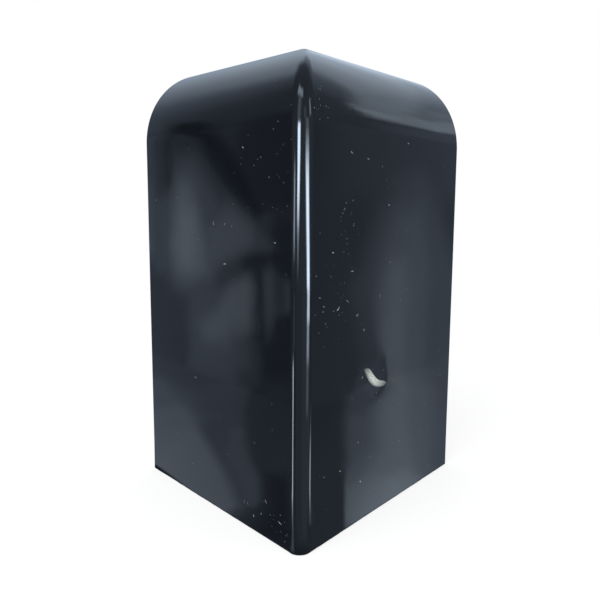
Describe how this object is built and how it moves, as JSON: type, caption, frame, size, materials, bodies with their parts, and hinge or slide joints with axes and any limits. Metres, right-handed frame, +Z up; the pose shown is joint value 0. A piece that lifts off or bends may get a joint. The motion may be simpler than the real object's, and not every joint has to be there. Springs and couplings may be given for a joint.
{
  "type": "external gutter corner",
  "caption": "Glossy black moulded outside corner for a roof-edge gutter board: flat legs at right angles, rounded arris, and a nosing that turns back over the top with a rounded mitre.",
  "frame": {"origin": "under the middle of the part's bounding box, on the plane of the cut lower end", "axes": "+Z up the arris to the nosing; the outside corner points to -X and -Y, one leg runs along +Y on the -X side and the other along +X on the -Y side"},
  "size_m": [0.08, 0.08, 0.15],
  "materials": {
    "gloss_black_plastic": "high gloss, as moulded"
  },
  "bodies": {
    "root": {"corner_cover": "gloss_black_plastic"}
  },
  "joints": []
}
